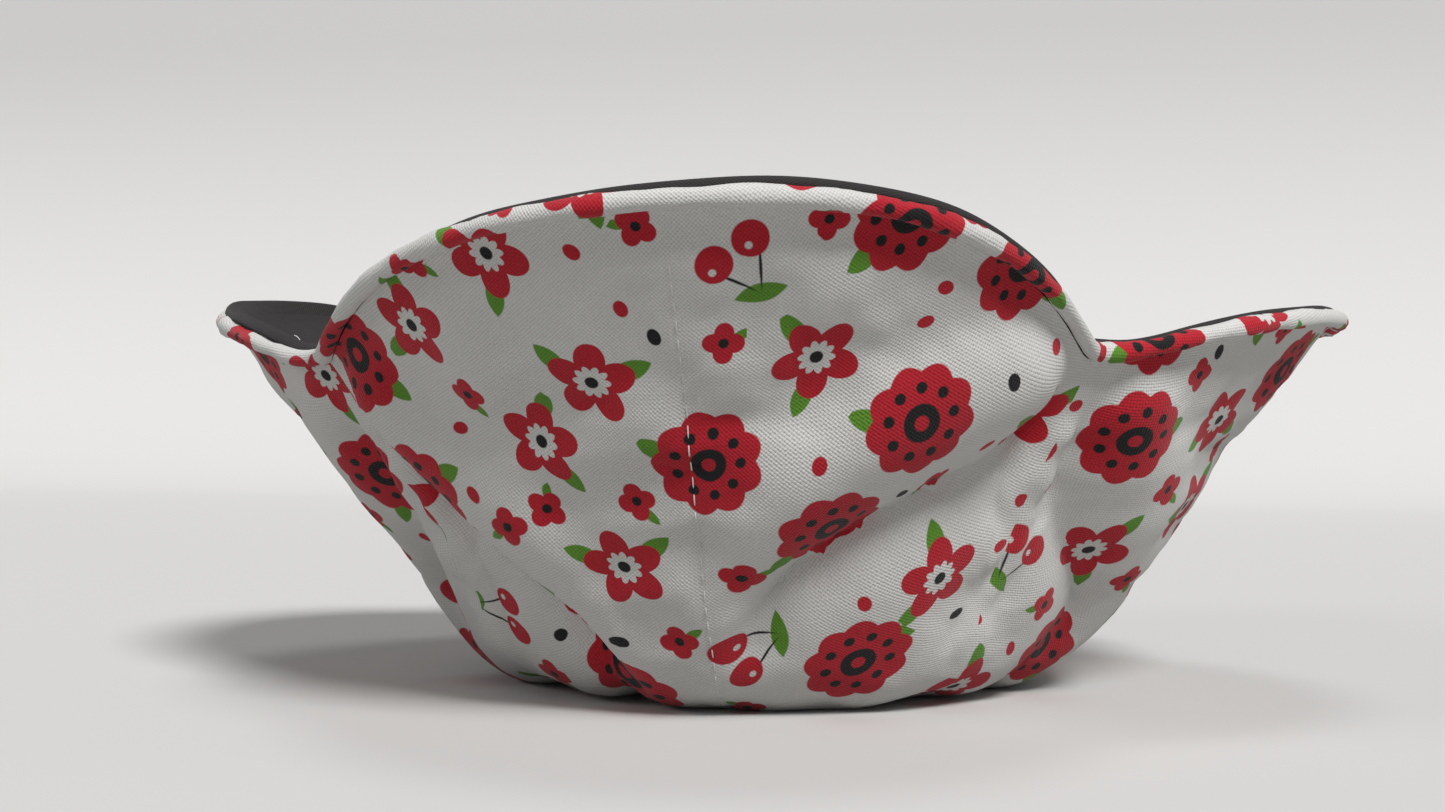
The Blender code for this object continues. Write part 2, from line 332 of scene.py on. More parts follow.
def lobe_shape(azimuths):
    """Radius and height of the rim, and a share that is 1 at a lobe's middle and 0 at a dart."""
    lobe, angle = in_lobe(azimuths)
    from_dart = HALF_LOBE - np.abs(angle)
    softened = np.hypot(from_dart, NOTCH_SOFTNESS) - NOTCH_SOFTNESS
    whole = np.hypot(HALF_LOBE, NOTCH_SOFTNESS) - NOTCH_SOFTNESS
    to_dart = np.clip(1 - softened / whole, 1e-6, 1)
    across = smooth_step(0.5 + angle / (2 * HALF_LOBE))

    def at_dart(values):
        values = np.array(values)
        return values[lobe - 1] * (1 - across) + values[lobe] * across

    reach = at_dart(DART_REACH)
    reach += (np.array(TIP_REACH)[lobe] - reach) * (1 - to_dart**PLAN_ROUNDNESS)
    rise = at_dart(DART_RISE)
    rise += (np.array(TIP_RISE)[lobe] - rise) * (1 - to_dart**RISE_ROUNDNESS)
    rise += np.array(SHOULDER_TILT)[lobe] * np.sin(np.radians(4 * angle))
    return REACH * reach, HEIGHT * rise, 1 - to_dart**2


def fold_push(azimuths, lengths, radii, heights):
    """How far folds and darts push the cloth out: a roll over each fold's hollow, and dart grooves."""
    lobe, angle = in_lobe(azimuths)
    half = (angle > 0).astype(int)
    turn = np.abs(angle) / HALF_LOBE
    foot = np.array(FOLD_FOOT)[lobe, half]
    rise = np.array(FOLD_RISE)[lobe, half]
    end = np.array(FOLD_END)[lobe, half]
    extra = FOLD_TOP - foot - rise
    line = foot + rise * turn + extra * turn**FOLD_STEEPNESS
    slope = (rise + extra * FOLD_STEEPNESS * turn ** (FOLD_STEEPNESS - 1)) / np.radians(HALF_LOBE)
    whole = lengths[:, -1:]
    share = lengths / whole
    tilt = slope[:, None] * whole / np.maximum(radii, 1.0)
    above = (share - line[:, None]) * whole / np.hypot(1, tilt)
    valley = np.exp((FOLD_CREASE - np.hypot(above, FOLD_CREASE)) / FOLD_WIDTH)
    crest = FOLD_CREST * bell(above - FOLD_CREST_ABOVE, FOLD_CREST_WIDTH)
    fade = smooth_step((np.abs(angle) - end) / FOLD_FADE[0])
    fade *= smooth_step((HALF_LOBE - np.abs(angle)) / FOLD_FADE[1])
    depth = np.array(FOLD_DEPTH)[lobe, half] * fade
    push = depth[:, None] * (crest - valley) * smooth_step(heights / FOLD_LIFT)
    push *= smooth_step((1 - share) * whole / FOLD_CLEAR_OF_RIM)

    below_rim = (1 - share) * whole / DART_LENGTH
    groove = DART_GROOVE * bell(arc(HALF_LOBE - np.abs(angle), radii), DART_GROOVE_WIDTH)
    return push - groove * smooth_step((1 - below_rim) / DART_GROOVE_EASE)


def foot_lift(azimuths, base, radii, heights):
    """How far the base's edge turns up off the floor, at its corners and where a fold runs out."""
    angle = in_lobe(azimuths)[1]
    lift = np.zeros(radii.shape)
    for at, height, width in FOOT_LIFTS:
        lift += height * bell(arc(angle - at, radii), width)
    lift *= smooth_step(1 - (base[:, None] - radii) / FOOT_LIFT_HEIGHT)
    return lift * smooth_step(1 - heights / (2 * FOOT_LIFT_HEIGHT))


def middle_sheet(azimuths, shares):
    """Points of the middle sheet at shares of each azimuth's profile, and the profiles' lengths."""
    radius, height, lobeness = lobe_shape(azimuths)
    share = lobeness[:, None]
    base = BASE_AT_DART + (BASE_AT_LOBE - BASE_AT_DART) * share
    out = np.array(DART_OUT) * (1 - share) + np.array(LOBE_OUT) * share
    up = np.array(DART_UP) * (1 - share) + np.array(LOBE_UP) * share
    out[:, 1:3] += np.array(LOBE_BELLY)[in_lobe(azimuths)[0]][:, None] * share
    control_r = np.hstack([base * np.array(FOOT_STEPS), base + out * (radius[:, None] - base)])
    control_z = np.hstack([np.zeros((len(azimuths), len(FOOT_STEPS))), up * height[:, None]])
    weights = spline_weights(control_r.shape[1], PROFILE_SAMPLES)
    r = control_r @ weights.T
    z = control_z @ weights.T
    steps = np.hypot(np.diff(r), np.diff(z))
    lengths = np.hstack([np.zeros((len(azimuths), 1)), np.cumsum(steps, axis=1)])
    push = fold_push(azimuths, lengths, r, z)
    along_r, along_z = np.gradient(r, axis=1), np.gradient(z, axis=1)
    scale = push / np.hypot(along_r, along_z)
    r, z = r + scale * along_z, z - scale * along_r
    corner = CORNER_PUSH * bell(arc(HALF_LOBE - np.abs(in_lobe(azimuths)[1]), r), CORNER_WIDTH)
    r += corner * bell(z - CORNER_HEIGHT, CORNER_HEIGHT) * smooth_step(r / base)
    z += foot_lift(azimuths, base[:, 0], r, z)
    rows = []
    for i, turn in enumerate(np.radians(azimuths)):
        places = shares * lengths[i, -1]
        at_r = np.interp(places, lengths[i], r[i])
        at_z = np.interp(places, lengths[i], z[i])
        rows.append(np.stack([at_r * np.cos(turn), at_r * np.sin(turn), at_z], axis=-1))
    return np.array(rows), lengths[:, -1]


def ripples(points, wavelength, seed, waves=28):
    """Smooth noise of about -1 to 1 at each point, the same at every run."""
    draw = np.random.default_rng(seed)
    ways = unit(draw.normal(size=(waves, 3))) * draw.uniform(0.7, 1.4, (waves, 1))
    phases = draw.uniform(0, 2 * np.pi, waves)
    total = np.zeros(points.shape[:-1])
    for way, phase in zip(ways, phases):
        total += np.cos(points @ way * (2 * np.pi / wavelength) + phase)
    return total / np.sqrt(waves / 2)


class Sheet:
    """The middle sheet on a grid: points, normals, lengths from the centre and angles in the lobes."""

    def __init__(self, facets, rings):
        per_lobe = facets // len(LOBE_AZIMUTH)
        self.facets = facets
        self.step = 360 / facets
        self.lobe = np.arange(facets) // per_lobe
        self.angle = np.arange(facets) % per_lobe * self.step - HALF_LOBE
        self.azimuths = np.array(LOBE_AZIMUTH)[self.lobe] + self.angle
        shares = np.linspace(0, 1, rings + 1)[1:]
        self.points, whole = middle_sheet(self.azimuths, shares)
        self.lengths = shares[None, :] * whole[:, None]
        self.from_rim = whole[:, None] - self.lengths
        around = np.roll(self.points, -1, axis=0) - np.roll(self.points, 1, axis=0)
        self.along = unit(np.gradient(self.points, axis=1))
        self.normal = unit(np.cross(around, self.along))
        radii = np.hypot(self.points[..., 0], self.points[..., 1])
        self.from_quilting = arc(np.abs(self.angle), radii)
        self.from_dart = arc(HALF_LOBE - np.abs(self.angle), radii)
        self.settling = {}

    def face(self, offsets, rings=slice(None)):
        """Points that stand off the sheet along its normals."""
        return (self.points + self.normal * np.asarray(offsets)[..., None])[:, rings]

    def across_rim(self, places):
        """Rings beyond the edge, at (out, up) places in the plane across the rim."""
        edge, normal, along = self.points[:, -1], self.normal[:, -1], self.along[:, -1]
        out_up = [(np.reshape(out, (-1, 1)), np.reshape(up, (-1, 1))) for out, up in places]
        return np.stack([edge + normal * out + along * up for out, up in out_up], axis=1)

    def flat(self, lengths):
        """Where the cloth was in the flat square, from each side of the step from a facet to the next."""
        beyond = np.maximum(lengths - (SEWN_HALF_SIDE - DART_LENGTH), 0)
        taken = np.degrees(np.arctan(DART_HALF_WIDTH * beyond / DART_LENGTH / np.maximum(lengths, 1)))
        places = []
        for angle in (self.angle, self.angle + self.step):
            turned = angle[:, None] / HALF_LOBE * (HALF_LOBE - taken) + HALF_LOBE
            flat = np.radians(np.array(LOBE_AZIMUTH)[self.lobe][:, None] + turned)
            far = lengths if angle is self.angle else np.roll(lengths, -1, axis=0)
            places.append(np.stack([far * np.cos(flat), far * np.sin(flat)], axis=-1))
        return np.array(places)


def over_cad(sheet):
    """Moves a sheet to where the CAD model is: on z = 0, with its rim's box centred over the origin."""
    angles = np.radians(CAD_ROLL_ANGLES)
    rim = sheet.across_rim([(CAD_ROLL_RADIUS * np.cos(a), CAD_ROLL_RADIUS * np.sin(a)) for a in angles])
    middle = (rim.min(axis=(0, 1)) + rim.max(axis=(0, 1))) / 2
    sheet.points -= [middle[0], middle[1], -FABRIC_OUT]
    sheet.centre = np.array([-middle[0], -middle[1], FABRIC_OUT])
    return sheet


def firmness(sheet):
    """How firmly the simulation holds each point of a cotton, and its middle: 1 is sewn down."""
    sewn = (sheet.from_dart < SIM_SEAM_WIDTH) & (sheet.from_rim < DART_LENGTH)
    sewn |= sheet.from_rim < CREASE_REACH
    quilted = (sheet.from_quilting < SIM_SEAM_WIDTH) & (sheet.lengths > QUILT_SINKS_FROM)
    holds = np.where(quilted, SIM_QUILTING_HOLD, SIM_HOLD)
    return np.append(np.where(sewn, 1.0, holds).ravel(), 1.0)


def make_cloth(piece, holds):
    """Makes a mesh a cloth with a little to spare, blown up against what holds it."""
    group = piece.vertex_groups.new(name="held")
    for index, hold in enumerate(holds):
        group.add([index], hold, "REPLACE")
    modifier = piece.modifiers.new("Cloth", "CLOTH")
    settings = modifier.settings
    settings.quality = SIM_QUALITY
    settings.mass = SIM_MASS
    settings.tension_stiffness = settings.compression_stiffness = SIM_STRETCHING
    settings.shear_stiffness = SIM_SHEARING
    settings.bending_stiffness = SIM_BENDING
    settings.vertex_group_mass = "held"
    settings.pin_stiffness = SIM_PINNING
    settings.shrink_min = -SIM_SPARE_CLOTH
    settings.use_pressure = True
    settings.uniform_pressure_force = SIM_PRESSURE
    settings.effector_weights.gravity = 0.0
    modifier.collision_settings.use_collision = False
    modifier.point_cache.frame_end = SIM_FRAMES


def settled(sheet, side, seed):
    """How far one cotton moves off its plain place when a cloth simulation lets it settle."""
    rough = over_cad(Sheet(FACETS // SIM_COARSER, WALL_RINGS // SIM_COARSER))
    plain = rough.face(np.full(rough.lengths.shape, side * FABRIC_OUT))
    start = plain + rough.normal * (SIM_RUFFLE * ripples(plain, SIM_RUFFLE_LENGTH, seed))[..., None]
    no_uv = np.zeros((2, rough.facets, plain.shape[1], 2))
    pole = rough.centre - [0, 0, side * FABRIC_OUT]
    grow = SIM_SCALE / MM
    cloth = skin("settling_cloth", start * grow, no_uv, [pole * grow], inside_out=side < 0)
    make_cloth(cloth, firmness(rough))
    scene = bpy.context.scene
    for frame_number in range(1, SIM_FRAMES + 1):
        scene.frame_set(frame_number)
    moved = cloth.evaluated_get(bpy.context.evaluated_depsgraph_get()).data
    places = np.empty(len(moved.vertices) * 3)
    moved.vertices.foreach_get("co", places)
    places = places.reshape(-1, 3)[:-1].reshape(plain.shape) / SIM_SCALE
    bpy.data.objects.remove(cloth)
    scene.frame_set(1)
    push = side * ((places - plain) * rough.normal).sum(axis=-1)
    return finer(SETTLE_LIMIT * np.tanh(push / SETTLE_LIMIT), sheet)


def finer(values, sheet):
    """Values on the simulation's grid of facets and rings, laid smoothly on the sheet's own grid."""
    around = np.concatenate([values, values[:1]], axis=0)
    at = np.arange(sheet.facets) / SIM_COARSER
    low, share = at.astype(int), smooth_step(at % 1)[:, None]
    wide = around[low] * (1 - share) + around[low + 1] * share
    rings = np.arange(1, sheet.lengths.shape[1] + 1) / SIM_COARSER
    padded = np.concatenate([np.zeros((sheet.facets, 1)), wide], axis=1)
    low = np.minimum(rings.astype(int), padded.shape[1] - 2)
    share = smooth_step(rings - low)[None, :]
    return padded[:, low] * (1 - share) + padded[:, low + 1] * share


def puckers(points, from_seam, kind, seed):
    """Ripples that die away from a seam."""
    height, wavelength, reach = kind
    return height * np.exp(-from_seam / reach) * ripples(points, wavelength, seed)


def wrinkles(sheet, seed):
    """Fine shape of one cotton face, in millimetres out from its plain place."""
    points = sheet.points
    total = BROAD_LUMPS[0] * ripples(points, BROAD_LUMPS[1], seed)
    total += SMALL_LUMPS[0] * ripples(points, SMALL_LUMPS[1], seed + 1)
    total += puckers(points, sheet.from_quilting, QUILT_PUCKERS, seed + 2)
    in_dart = smooth_step((DART_LENGTH - sheet.from_rim) / DART_SEAM_START)
    total += in_dart * puckers(points, sheet.from_dart, DART_TUCKS, seed + 3)
    total += puckers(points, sheet.from_rim, HEM_PUCKERS, seed + 4)
    return total - in_dart * DART_SEAM_DEPTH * bell(sheet.from_dart, DART_SEAM_WIDTH)


def quilting_channel(sheet):
    """How deep the quilting pulls a cotton in: most under each stitch, and less between two of them."""
    between = 0.5 - 0.5 * np.cos(2 * np.pi * sheet.lengths / STITCH_PITCH)
    depth = QUILT_DEPTH * (1 - QUILT_EASED_BETWEEN_STITCHES * between)
    on_wall = smooth_step((sheet.lengths - QUILT_SINKS_FROM) / QUILT_SINKS_OVER)
    depth *= QUILT_DEPTH_ON_BASE + (1 - QUILT_DEPTH_ON_BASE) * on_wall
    return depth * bell(sheet.from_quilting, QUILT_WIDTH)


def face_offsets(sheet, seed):
    """How far one cotton face stands from the middle sheet."""
    settling = sheet.settling.get(seed, 0.0)
    squeeze = bell(sheet.from_rim - CREASE_BELOW, CREASE_REACH)
    squeeze = (FABRIC_OUT - CREASE_OFFSET) * np.where(sheet.from_rim < CREASE_BELOW, 1.0, squeeze)
    slack = 1 - squeeze / FABRIC_OUT
    shape = wrinkles(sheet, seed) + settling - quilting_channel(sheet)
    return FABRIC_OUT - squeeze + shape * slack


def resting(points):
    """Presses what would be under the floor flat on it."""
    low = points[..., 2] < REST_SOFTNESS
    pressed = REST_SOFTNESS * np.exp(points[..., 2] / REST_SOFTNESS - 1)
    points[..., 2] = np.where(low, np.maximum(pressed, REST_CLEARANCE), points[..., 2])
    return points


def placed(name, mesh):
    """A smooth object of a mesh, put in the scene."""
    mesh.polygons.foreach_set("use_smooth", [True] * len(mesh.polygons))
    mesh.update()
    made = bpy.data.objects.new(name, mesh)
    bpy.context.scene.collection.objects.link(made)
    return made


def skin(name, rings, uv, poles=(), tube=False, inside_out=False):
    """A mesh of rings round the bowl, closed at its poles; uv has the places at each facet's two sides."""
    facets, count = rings.shape[:2]
    here, after = np.arange(facets), (np.arange(facets) + 1) % facets
    levels = np.arange(count if tube else count - 1)
    i, j = (grid.ravel() for grid in np.meshgrid(here, levels, indexing="ij"))
    up = (j + 1) % count
    quads = np.stack([i * count + j, after[i] * count + j, after[i] * count + up, i * count + up], axis=1)
    quad_uv = np.stack([uv[0][i, j], uv[1][i, j], uv[1][i, j + 1], uv[0][i, j + 1]], axis=1)
    points = rings.reshape(-1, 3)
    faces, face_uv = quads.tolist(), quad_uv.reshape(-1, 2)
    for pole, at in zip(poles, (0, count - 1)):
        fan = np.stack([np.full(facets, len(points)), after * count + at, here * count + at], axis=1)
        points = np.vstack([points, pole])
        fan_uv = np.stack([np.zeros((facets, 2)), uv[1][here, at], uv[0][here, at]], axis=1)
        if at:
            fan, fan_uv = fan[:, ::-1], fan_uv[:, ::-1]
        faces += fan.tolist()
        face_uv = np.vstack([face_uv, fan_uv.reshape(-1, 2)])
    mesh = bpy.data.meshes.new(name)
    mesh.from_pydata((points * MM).tolist(), [], faces)
    mesh.uv_layers.new(name="Flat").data.foreach_set("uv", face_uv.ravel())
    if inside_out:
        mesh.flip_normals()
    return placed(name, mesh)


def cloth_skin(name, sheet, side, seed, edge, edge_lengths):
    """A cotton as a thin closed skin: its face, then its turned edge, then its back."""
    offsets = face_offsets(sheet, seed)
    face = sheet.face(side * offsets, FACE_RINGS)
    back = sheet.face(side * (offsets - FABRIC), BACK_RINGS)[:, ::-1]
    rings = np.concatenate([face, sheet.across_rim(edge), back], axis=1)
    turned = sheet.lengths[:, -1:] + np.array(edge_lengths)
    lengths = [sheet.lengths[:, FACE_RINGS], turned, sheet.lengths[:, BACK_RINGS][:, ::-1]]
    poles = [sheet.centre - [0, 0, side * out] for out in (FABRIC_OUT, FABRIC_OUT - FABRIC)]
    uv = sheet.flat(np.concatenate(lengths, axis=1))
    return skin(name, resting(rings), uv, poles, inside_out=side < 0)


def printed_cover(sheet):
    """The printed cotton, whose edge tucks in under the roll."""
    return cloth_skin("printed_cover", sheet, 1, COVER_SEED, COVER_TUCK, COVER_TUCK_LENGTHS)


def black_lining(sheet):
    """The lining: its face is the inside of the bowl, and its edge stands up behind the roll."""
    lift = lining_lift(sheet)
    edge = []
    for angle in np.radians(LINING_EDGE_ANGLES):
        out = LINING_EDGE_OUT + LINING_EDGE_RADIUS * np.cos(angle) - LINING_EDGE_LEAN * lift
        edge.append((out, LINING_EDGE_UP + LINING_EDGE_RADIUS * np.sin(angle) + lift))
    lengths = [*(np.arange(len(edge)) * LINING_EDGE_STEP), *LINING_TUCK_LENGTHS]
    return cloth_skin("black_lining", sheet, -1, LINING_SEED, [*edge, *LINING_TUCK], lengths)


def lining_lift(sheet):
    """How far the lining's edge stands up behind the roll, more on one side of each lobe."""
    lift = LINING_LIFT * np.sin(np.radians(2 * sheet.angle))
    lift *= smooth_step((HALF_LOBE - np.abs(sheet.angle)) / LINING_LIFT_FADE)
    height, wavelength = LINING_EDGE_WAVES
    return lift + height * ripples(sheet.points[:, -1], wavelength, LINING_EDGE_SEED)


def rim_roll(sheet):
    """The roll along the edge, where the printed cotton goes on over the crease that it is sewn in."""
    edge = sheet.points[:, -1]
    angles = np.radians(np.arange(ROLL_SIDES) * 360 / ROLL_SIDES - 180.0)
    puffed = ROLL_RADIUS + ROLL_PUFFS[0] * ripples(edge, ROLL_PUFFS[1], ROLL_SEED)
    height, wavelength = ROLL_DIMPLES
    places = []
    for side, angle in enumerate(angles):
        radius = puffed + height * ripples(edge + wavelength * side, wavelength, ROLL_SEED + 1)
        places.append((ROLL_OUT + radius * np.cos(angle), ROLL_UP + radius * np.sin(angle)))
    past_crease = (np.append(angles, np.pi) + np.pi / 2) * ROLL_RADIUS
    uv = sheet.flat(sheet.lengths[:, -1:] - CREASE_BELOW + past_crease)
    return skin("rim_roll", sheet.across_rim(places), uv, tube=True)


def padding(name, sheet, side):
    """One half of the batting, a soft sheet that ends a little below the rim."""
    cotton_back = face_offsets(sheet, COVER_SEED if side > 0 else LINING_SEED) - FABRIC
    thick = BATTING_IN + BATTING_FILL * (cotton_back - BATTING_IN)
    face = sheet.face(side * thick, PADDING_RINGS)
    back = sheet.face(side * np.full_like(thick, BATTING_IN), PADDING_RINGS)[:, ::-1]
    rings = np.concatenate([face, back], axis=1)
    poles = [sheet.centre - [0, 0, side * out] for out in (BATTING_FILL * BATTING_OUT, BATTING_IN)]
    uv = np.zeros((2, sheet.facets, rings.shape[1], 2))
    return skin(name, rings, uv, poles, inside_out=side < 0)


def stitches(sheet):
    """Quilting stitches in the channels through the lobes' middles, on both faces."""
    made = bmesh.new()
    arch = np.array(STITCH_ARCH)[:, None]
    for side, seed in ((1, COVER_SEED), (-1, LINING_SEED)):
        face = sheet.face(side * face_offsets(sheet, seed))
        for i in np.flatnonzero(np.abs(sheet.angle) < sheet.step / 2):
            lengths = sheet.lengths[i]
            for start in np.arange(STITCHES_FROM, lengths[-1] - STITCHES_BELOW_RIM, STITCH_PITCH):
                spots = start + np.linspace(0, STITCH_LENGTH, len(arch))
                line = np.stack([np.interp(spots, lengths, axis) for axis in face[i].T], axis=1)
                out = np.stack([np.interp(spots, lengths, axis) for axis in sheet.normal[i].T], axis=1)
                line += side * unit(out) * arch
                line[:, 2] = np.maximum(line[:, 2], THREAD_RADIUS)
                add_stitch(made, line)
    mesh = bpy.data.meshes.new("quilting_thread")
    made.to_mesh(mesh)
    made.free()
    return placed("quilting_thread", mesh)


def add_stitch(made, line):
    """A short tube along a line, narrowed and closed at its ends."""
    no_stitch_runs_this_way = [0.3, 0.5, 0.8]
    rings = []
    ways = unit(np.gradient(line, axis=0))
    for point, way, width in zip(line, ways, STITCH_WIDTHS):
        across = unit(np.cross(way, no_stitch_runs_this_way))
        other = np.cross(way, across)
        turns = np.arange(STITCH_SIDES) * 2 * np.pi / STITCH_SIDES
        ring = [point + THREAD_RADIUS * width * (across * np.cos(t) + other * np.sin(t)) for t in turns]
        rings.append([made.verts.new(tuple(p * MM)) for p in ring])
    for low, high in zip(rings, rings[1:]):
        for k in range(STITCH_SIDES):
            after = (k + 1) % STITCH_SIDES
            made.faces.new((low[k], low[after], high[after], high[k]))
    made.faces.new(rings[0][::-1])
    made.faces.new(rings[-1])


class Shade:
    """A material's nodes, added one call at a time."""

    def __init__(self, name):
        self.material = bpy.data.materials.new(name)
        self.material.use_nodes = True
        self.tree = self.material.node_tree
        self.shader = self.tree.nodes["Principled BSDF"]

    def put(self, socket, value):
        """Links a node's output to a socket, or sets a plain value there."""
        if isinstance(value, bpy.types.NodeSocket):
            self.tree.links.new(value, socket)
        else:
            socket.default_value = value

    def surface(self, values):
        """Sets inputs of the shader, and gives the finished material."""
        for name, value in values.items():
            self.put(self.shader.inputs[name], value)
        return self.material

    def add(self, kind, values, **settings):
        node = self.tree.nodes.new(kind)
        for name, setting in settings.items():
            setattr(node, name, setting)
        for name, value in values.items():
            self.put(node.inputs[name], value)
        return node

    def math(self, operation, *values, clamp=False):
        node = self.add("ShaderNodeMath", {}, operation=operation, use_clamp=clamp)
        for socket, value in zip(node.inputs, values):
            self.put(socket, value)
        return node.outputs[0]

    def vector(self, operation, *values):
        node = self.add("ShaderNodeVectorMath", {}, operation=operation)
        for socket, value in zip(node.inputs, values):
            self.put(socket, value)
        return node.outputs["Value" if operation in ("DISTANCE", "LENGTH") else "Vector"]

    def mix(self, share, below, above, blend="MIX"):
        node = self.add("ShaderNodeMix", {}, data_type="RGBA", blend_type=blend)
        for index, value in ((0, share), (6, below), (7, above)):
            self.put(node.inputs[index], value)
        return node.outputs[2]

    def solid(self):
        return self.add("ShaderNodeTexCoord", {}).outputs["Object"]

    def noise(self, place, scale, detail, distortion=0.0):
        values = {"Vector": place, "Scale": scale, "Detail": detail, "Distortion": distortion}
        return self.add("ShaderNodeTexNoise", values).outputs[0]

    def bump(self, height, strength, over=None):
        """A normal that follows a height, on top of another bump where there is one."""
        values = {"Height": height, **strength}
        if over is not None:
            values["Normal"] = over
        return self.add("ShaderNodeBump", values).outputs[0]

    def spot(self, place, centre, radius):
        """A disc."""
        return self.within(self.vector("DISTANCE", place, (*centre, 0.0)), radius)

    def within(self, distance, radius):
        """1 where a distance is under a radius and 0 beyond, with the soft edge of ink."""
        return self.math("MULTIPLY_ADD", distance, -1 / INK_EDGE, radius / INK_EDGE + 0.5, clamp=True)

    def leaf(self, place, centre, angle, length, width):
        """A pointed oval, where two wide discs meet."""
        wide = (length**2 / width + width) / 2
        way = np.radians(angle + 90)
        aside = np.array([np.cos(way), np.sin(way)]) * (wide - width)
        one = self.vector("DISTANCE", place, (*(np.array(centre) + aside), 0.0))
        other = self.vector("DISTANCE", place, (*(np.array(centre) - aside), 0.0))
        return self.within(self.math("MAXIMUM", one, other), wide)

    def polar(self, place):
        """How far a place is from its motif's middle, and its angle round it."""
        split = self.add("ShaderNodeSeparateXYZ", {"Vector": place}).outputs
        return self.vector("LENGTH", place), self.math("ARCTAN2", split["Y"], split["X"])

    def petals(self, radius, turn, count, reach, swing):
        """A round shape with lobes."""
        wave = self.math("ABSOLUTE", self.math("SINE", self.math("MULTIPLY", turn, count / 2)))
        return self.within(self.math("MULTIPLY_ADD", wave, -swing, radius), reach)

    def ring_of_spots(self, radius, turn, count, at, size):
        """Discs in a ring round a motif's middle."""
        part = self.math("FRACT", self.math("MULTIPLY_ADD", turn, count / (2 * np.pi), 0.5))
        aside = self.math("MULTIPLY_ADD", part, 2 * np.pi * at / count, -np.pi * at / count)
        where = self.add("ShaderNodeCombineXYZ", {"X": self.math("SUBTRACT", radius, at), "Y": aside})
        return self.within(self.vector("LENGTH", where.outputs[0]), size)


def lattice(shade, place, size, jitter):
    """The nearest point of a jittered lattice: its position, and a random colour of its own."""
    values = {"Vector": place, "Scale": 1 / size, "Randomness": jitter}
    return shade.add("ShaderNodeTexVoronoi", values, voronoi_dimensions="2D").outputs


def cells(shade, place, size, jitter):
    """Cells of a lattice: each one's middle, its random numbers and the place in it, turned at random."""
    found = lattice(shade, place, size, jitter)
    chance = shade.add("ShaderNodeSeparateXYZ", {"Vector": found["Color"]}).outputs
    values = {
        "Vector": shade.vector("SUBTRACT", place, found["Position"]),
        "Angle": shade.math("MULTIPLY", chance["X"], 2 * np.pi),
    }
    turned = shade.add("ShaderNodeVectorRotate", values, rotation_type="Z_AXIS").outputs[0]
    return found["Position"], chance, turned


def paint(shade, ground, when, layers):
    """Lays each (mask, colour) over the ground where the condition holds."""
    for mask, colour in layers:
        ground = shade.mix(shade.math("MULTIPLY", mask, when), ground, colour)
    return ground


def bloom(shade, inside, radius, turn):
    """Layers of a big round bloom: a leaf, its petals, a ring of dark spots and a dark middle."""
    return [
        (shade.leaf(inside, (8.6, 0.0), 8, 3.4, 1.7), GREEN),
        (shade.petals(radius, turn, 9, 7.9, 1.2), RED),
        (shade.ring_of_spots(radius, turn, 9, 5.4, 0.9), BLACK),
        (shade.within(radius, 3.0), BLACK),
        (shade.within(radius, 1.2), RED),
    ]


def star(shade, inside, radius, turn):
    """Layers of a starry blossom with five petals, a white middle and two leaves."""
    return [
        (shade.leaf(inside, (5.9, 3.5), 30, 3.7, 1.7), GREEN),
        (shade.leaf(inside, (-1.1, -7.0), -95, 3.5, 1.6), GREEN),
        (shade.petals(radius, turn, 5, 4.2, 3.1), RED),
        (shade.petals(radius, turn, 10, 2.2, 0.9), WHITE),
        (shade.within(radius, 1.1), BLACK),
    ]


def berries(shade, inside):
    """Layers of two berries on thin stalks under a leaf, each with a white glint."""
    return [
        (shade.leaf(inside, (0.0, 4.6), 15, 4.2, 1.6), GREEN),
        (shade.leaf(inside, (-2.2, 0.8), 62, 3.9, 0.24), BLACK),
        (shade.leaf(inside, (2.2, 0.8), 118, 3.9, 0.24), BLACK),
        (shade.spot(inside, (-3.4, -3.4), 2.9), RED),
        (shade.spot(inside, (3.2, -3.8), 2.9), RED),
        (shade.spot(inside, (-4.2, -2.6), 0.6), WHITE),
        (shade.spot(inside, (2.4, -3.0), 0.6), WHITE),
    ]


def bud(shade, inside, radius, turn):
    """Layers of a small bud with four petals and a leaf."""
    return [
        (shade.leaf(inside, (3.0, 1.0), 20, 2.0, 0.8), GREEN),
        (shade.petals(radius, turn, 4, 2.2, 1.1), RED),
        (shade.within(radius, 0.8), BLACK),
    ]


def motifs(shade, place, ground):
    """Red blooms, starry blossoms and berries with their leaves, one kind in each cell."""
    _, chance, inside = cells(shade, place, MOTIF_SPACING, MOTIF_JITTER)
    radius, turn = shade.polar(inside)
    is_bloom = shade.math("LESS_THAN", chance["Y"], BLOOMS_UNDER)
    is_berries = shade.math("GREATER_THAN", chance["Y"], BERRIES_OVER)
    is_star = shade.math("SUBTRACT", shade.math("SUBTRACT", 1.0, is_bloom), is_berries)
    ground = paint(shade, ground, is_bloom, bloom(shade, inside, radius, turn))
    ground = paint(shade, ground, is_star, star(shade, inside, radius, turn))
    return paint(shade, ground, is_berries, berries(shade, inside))


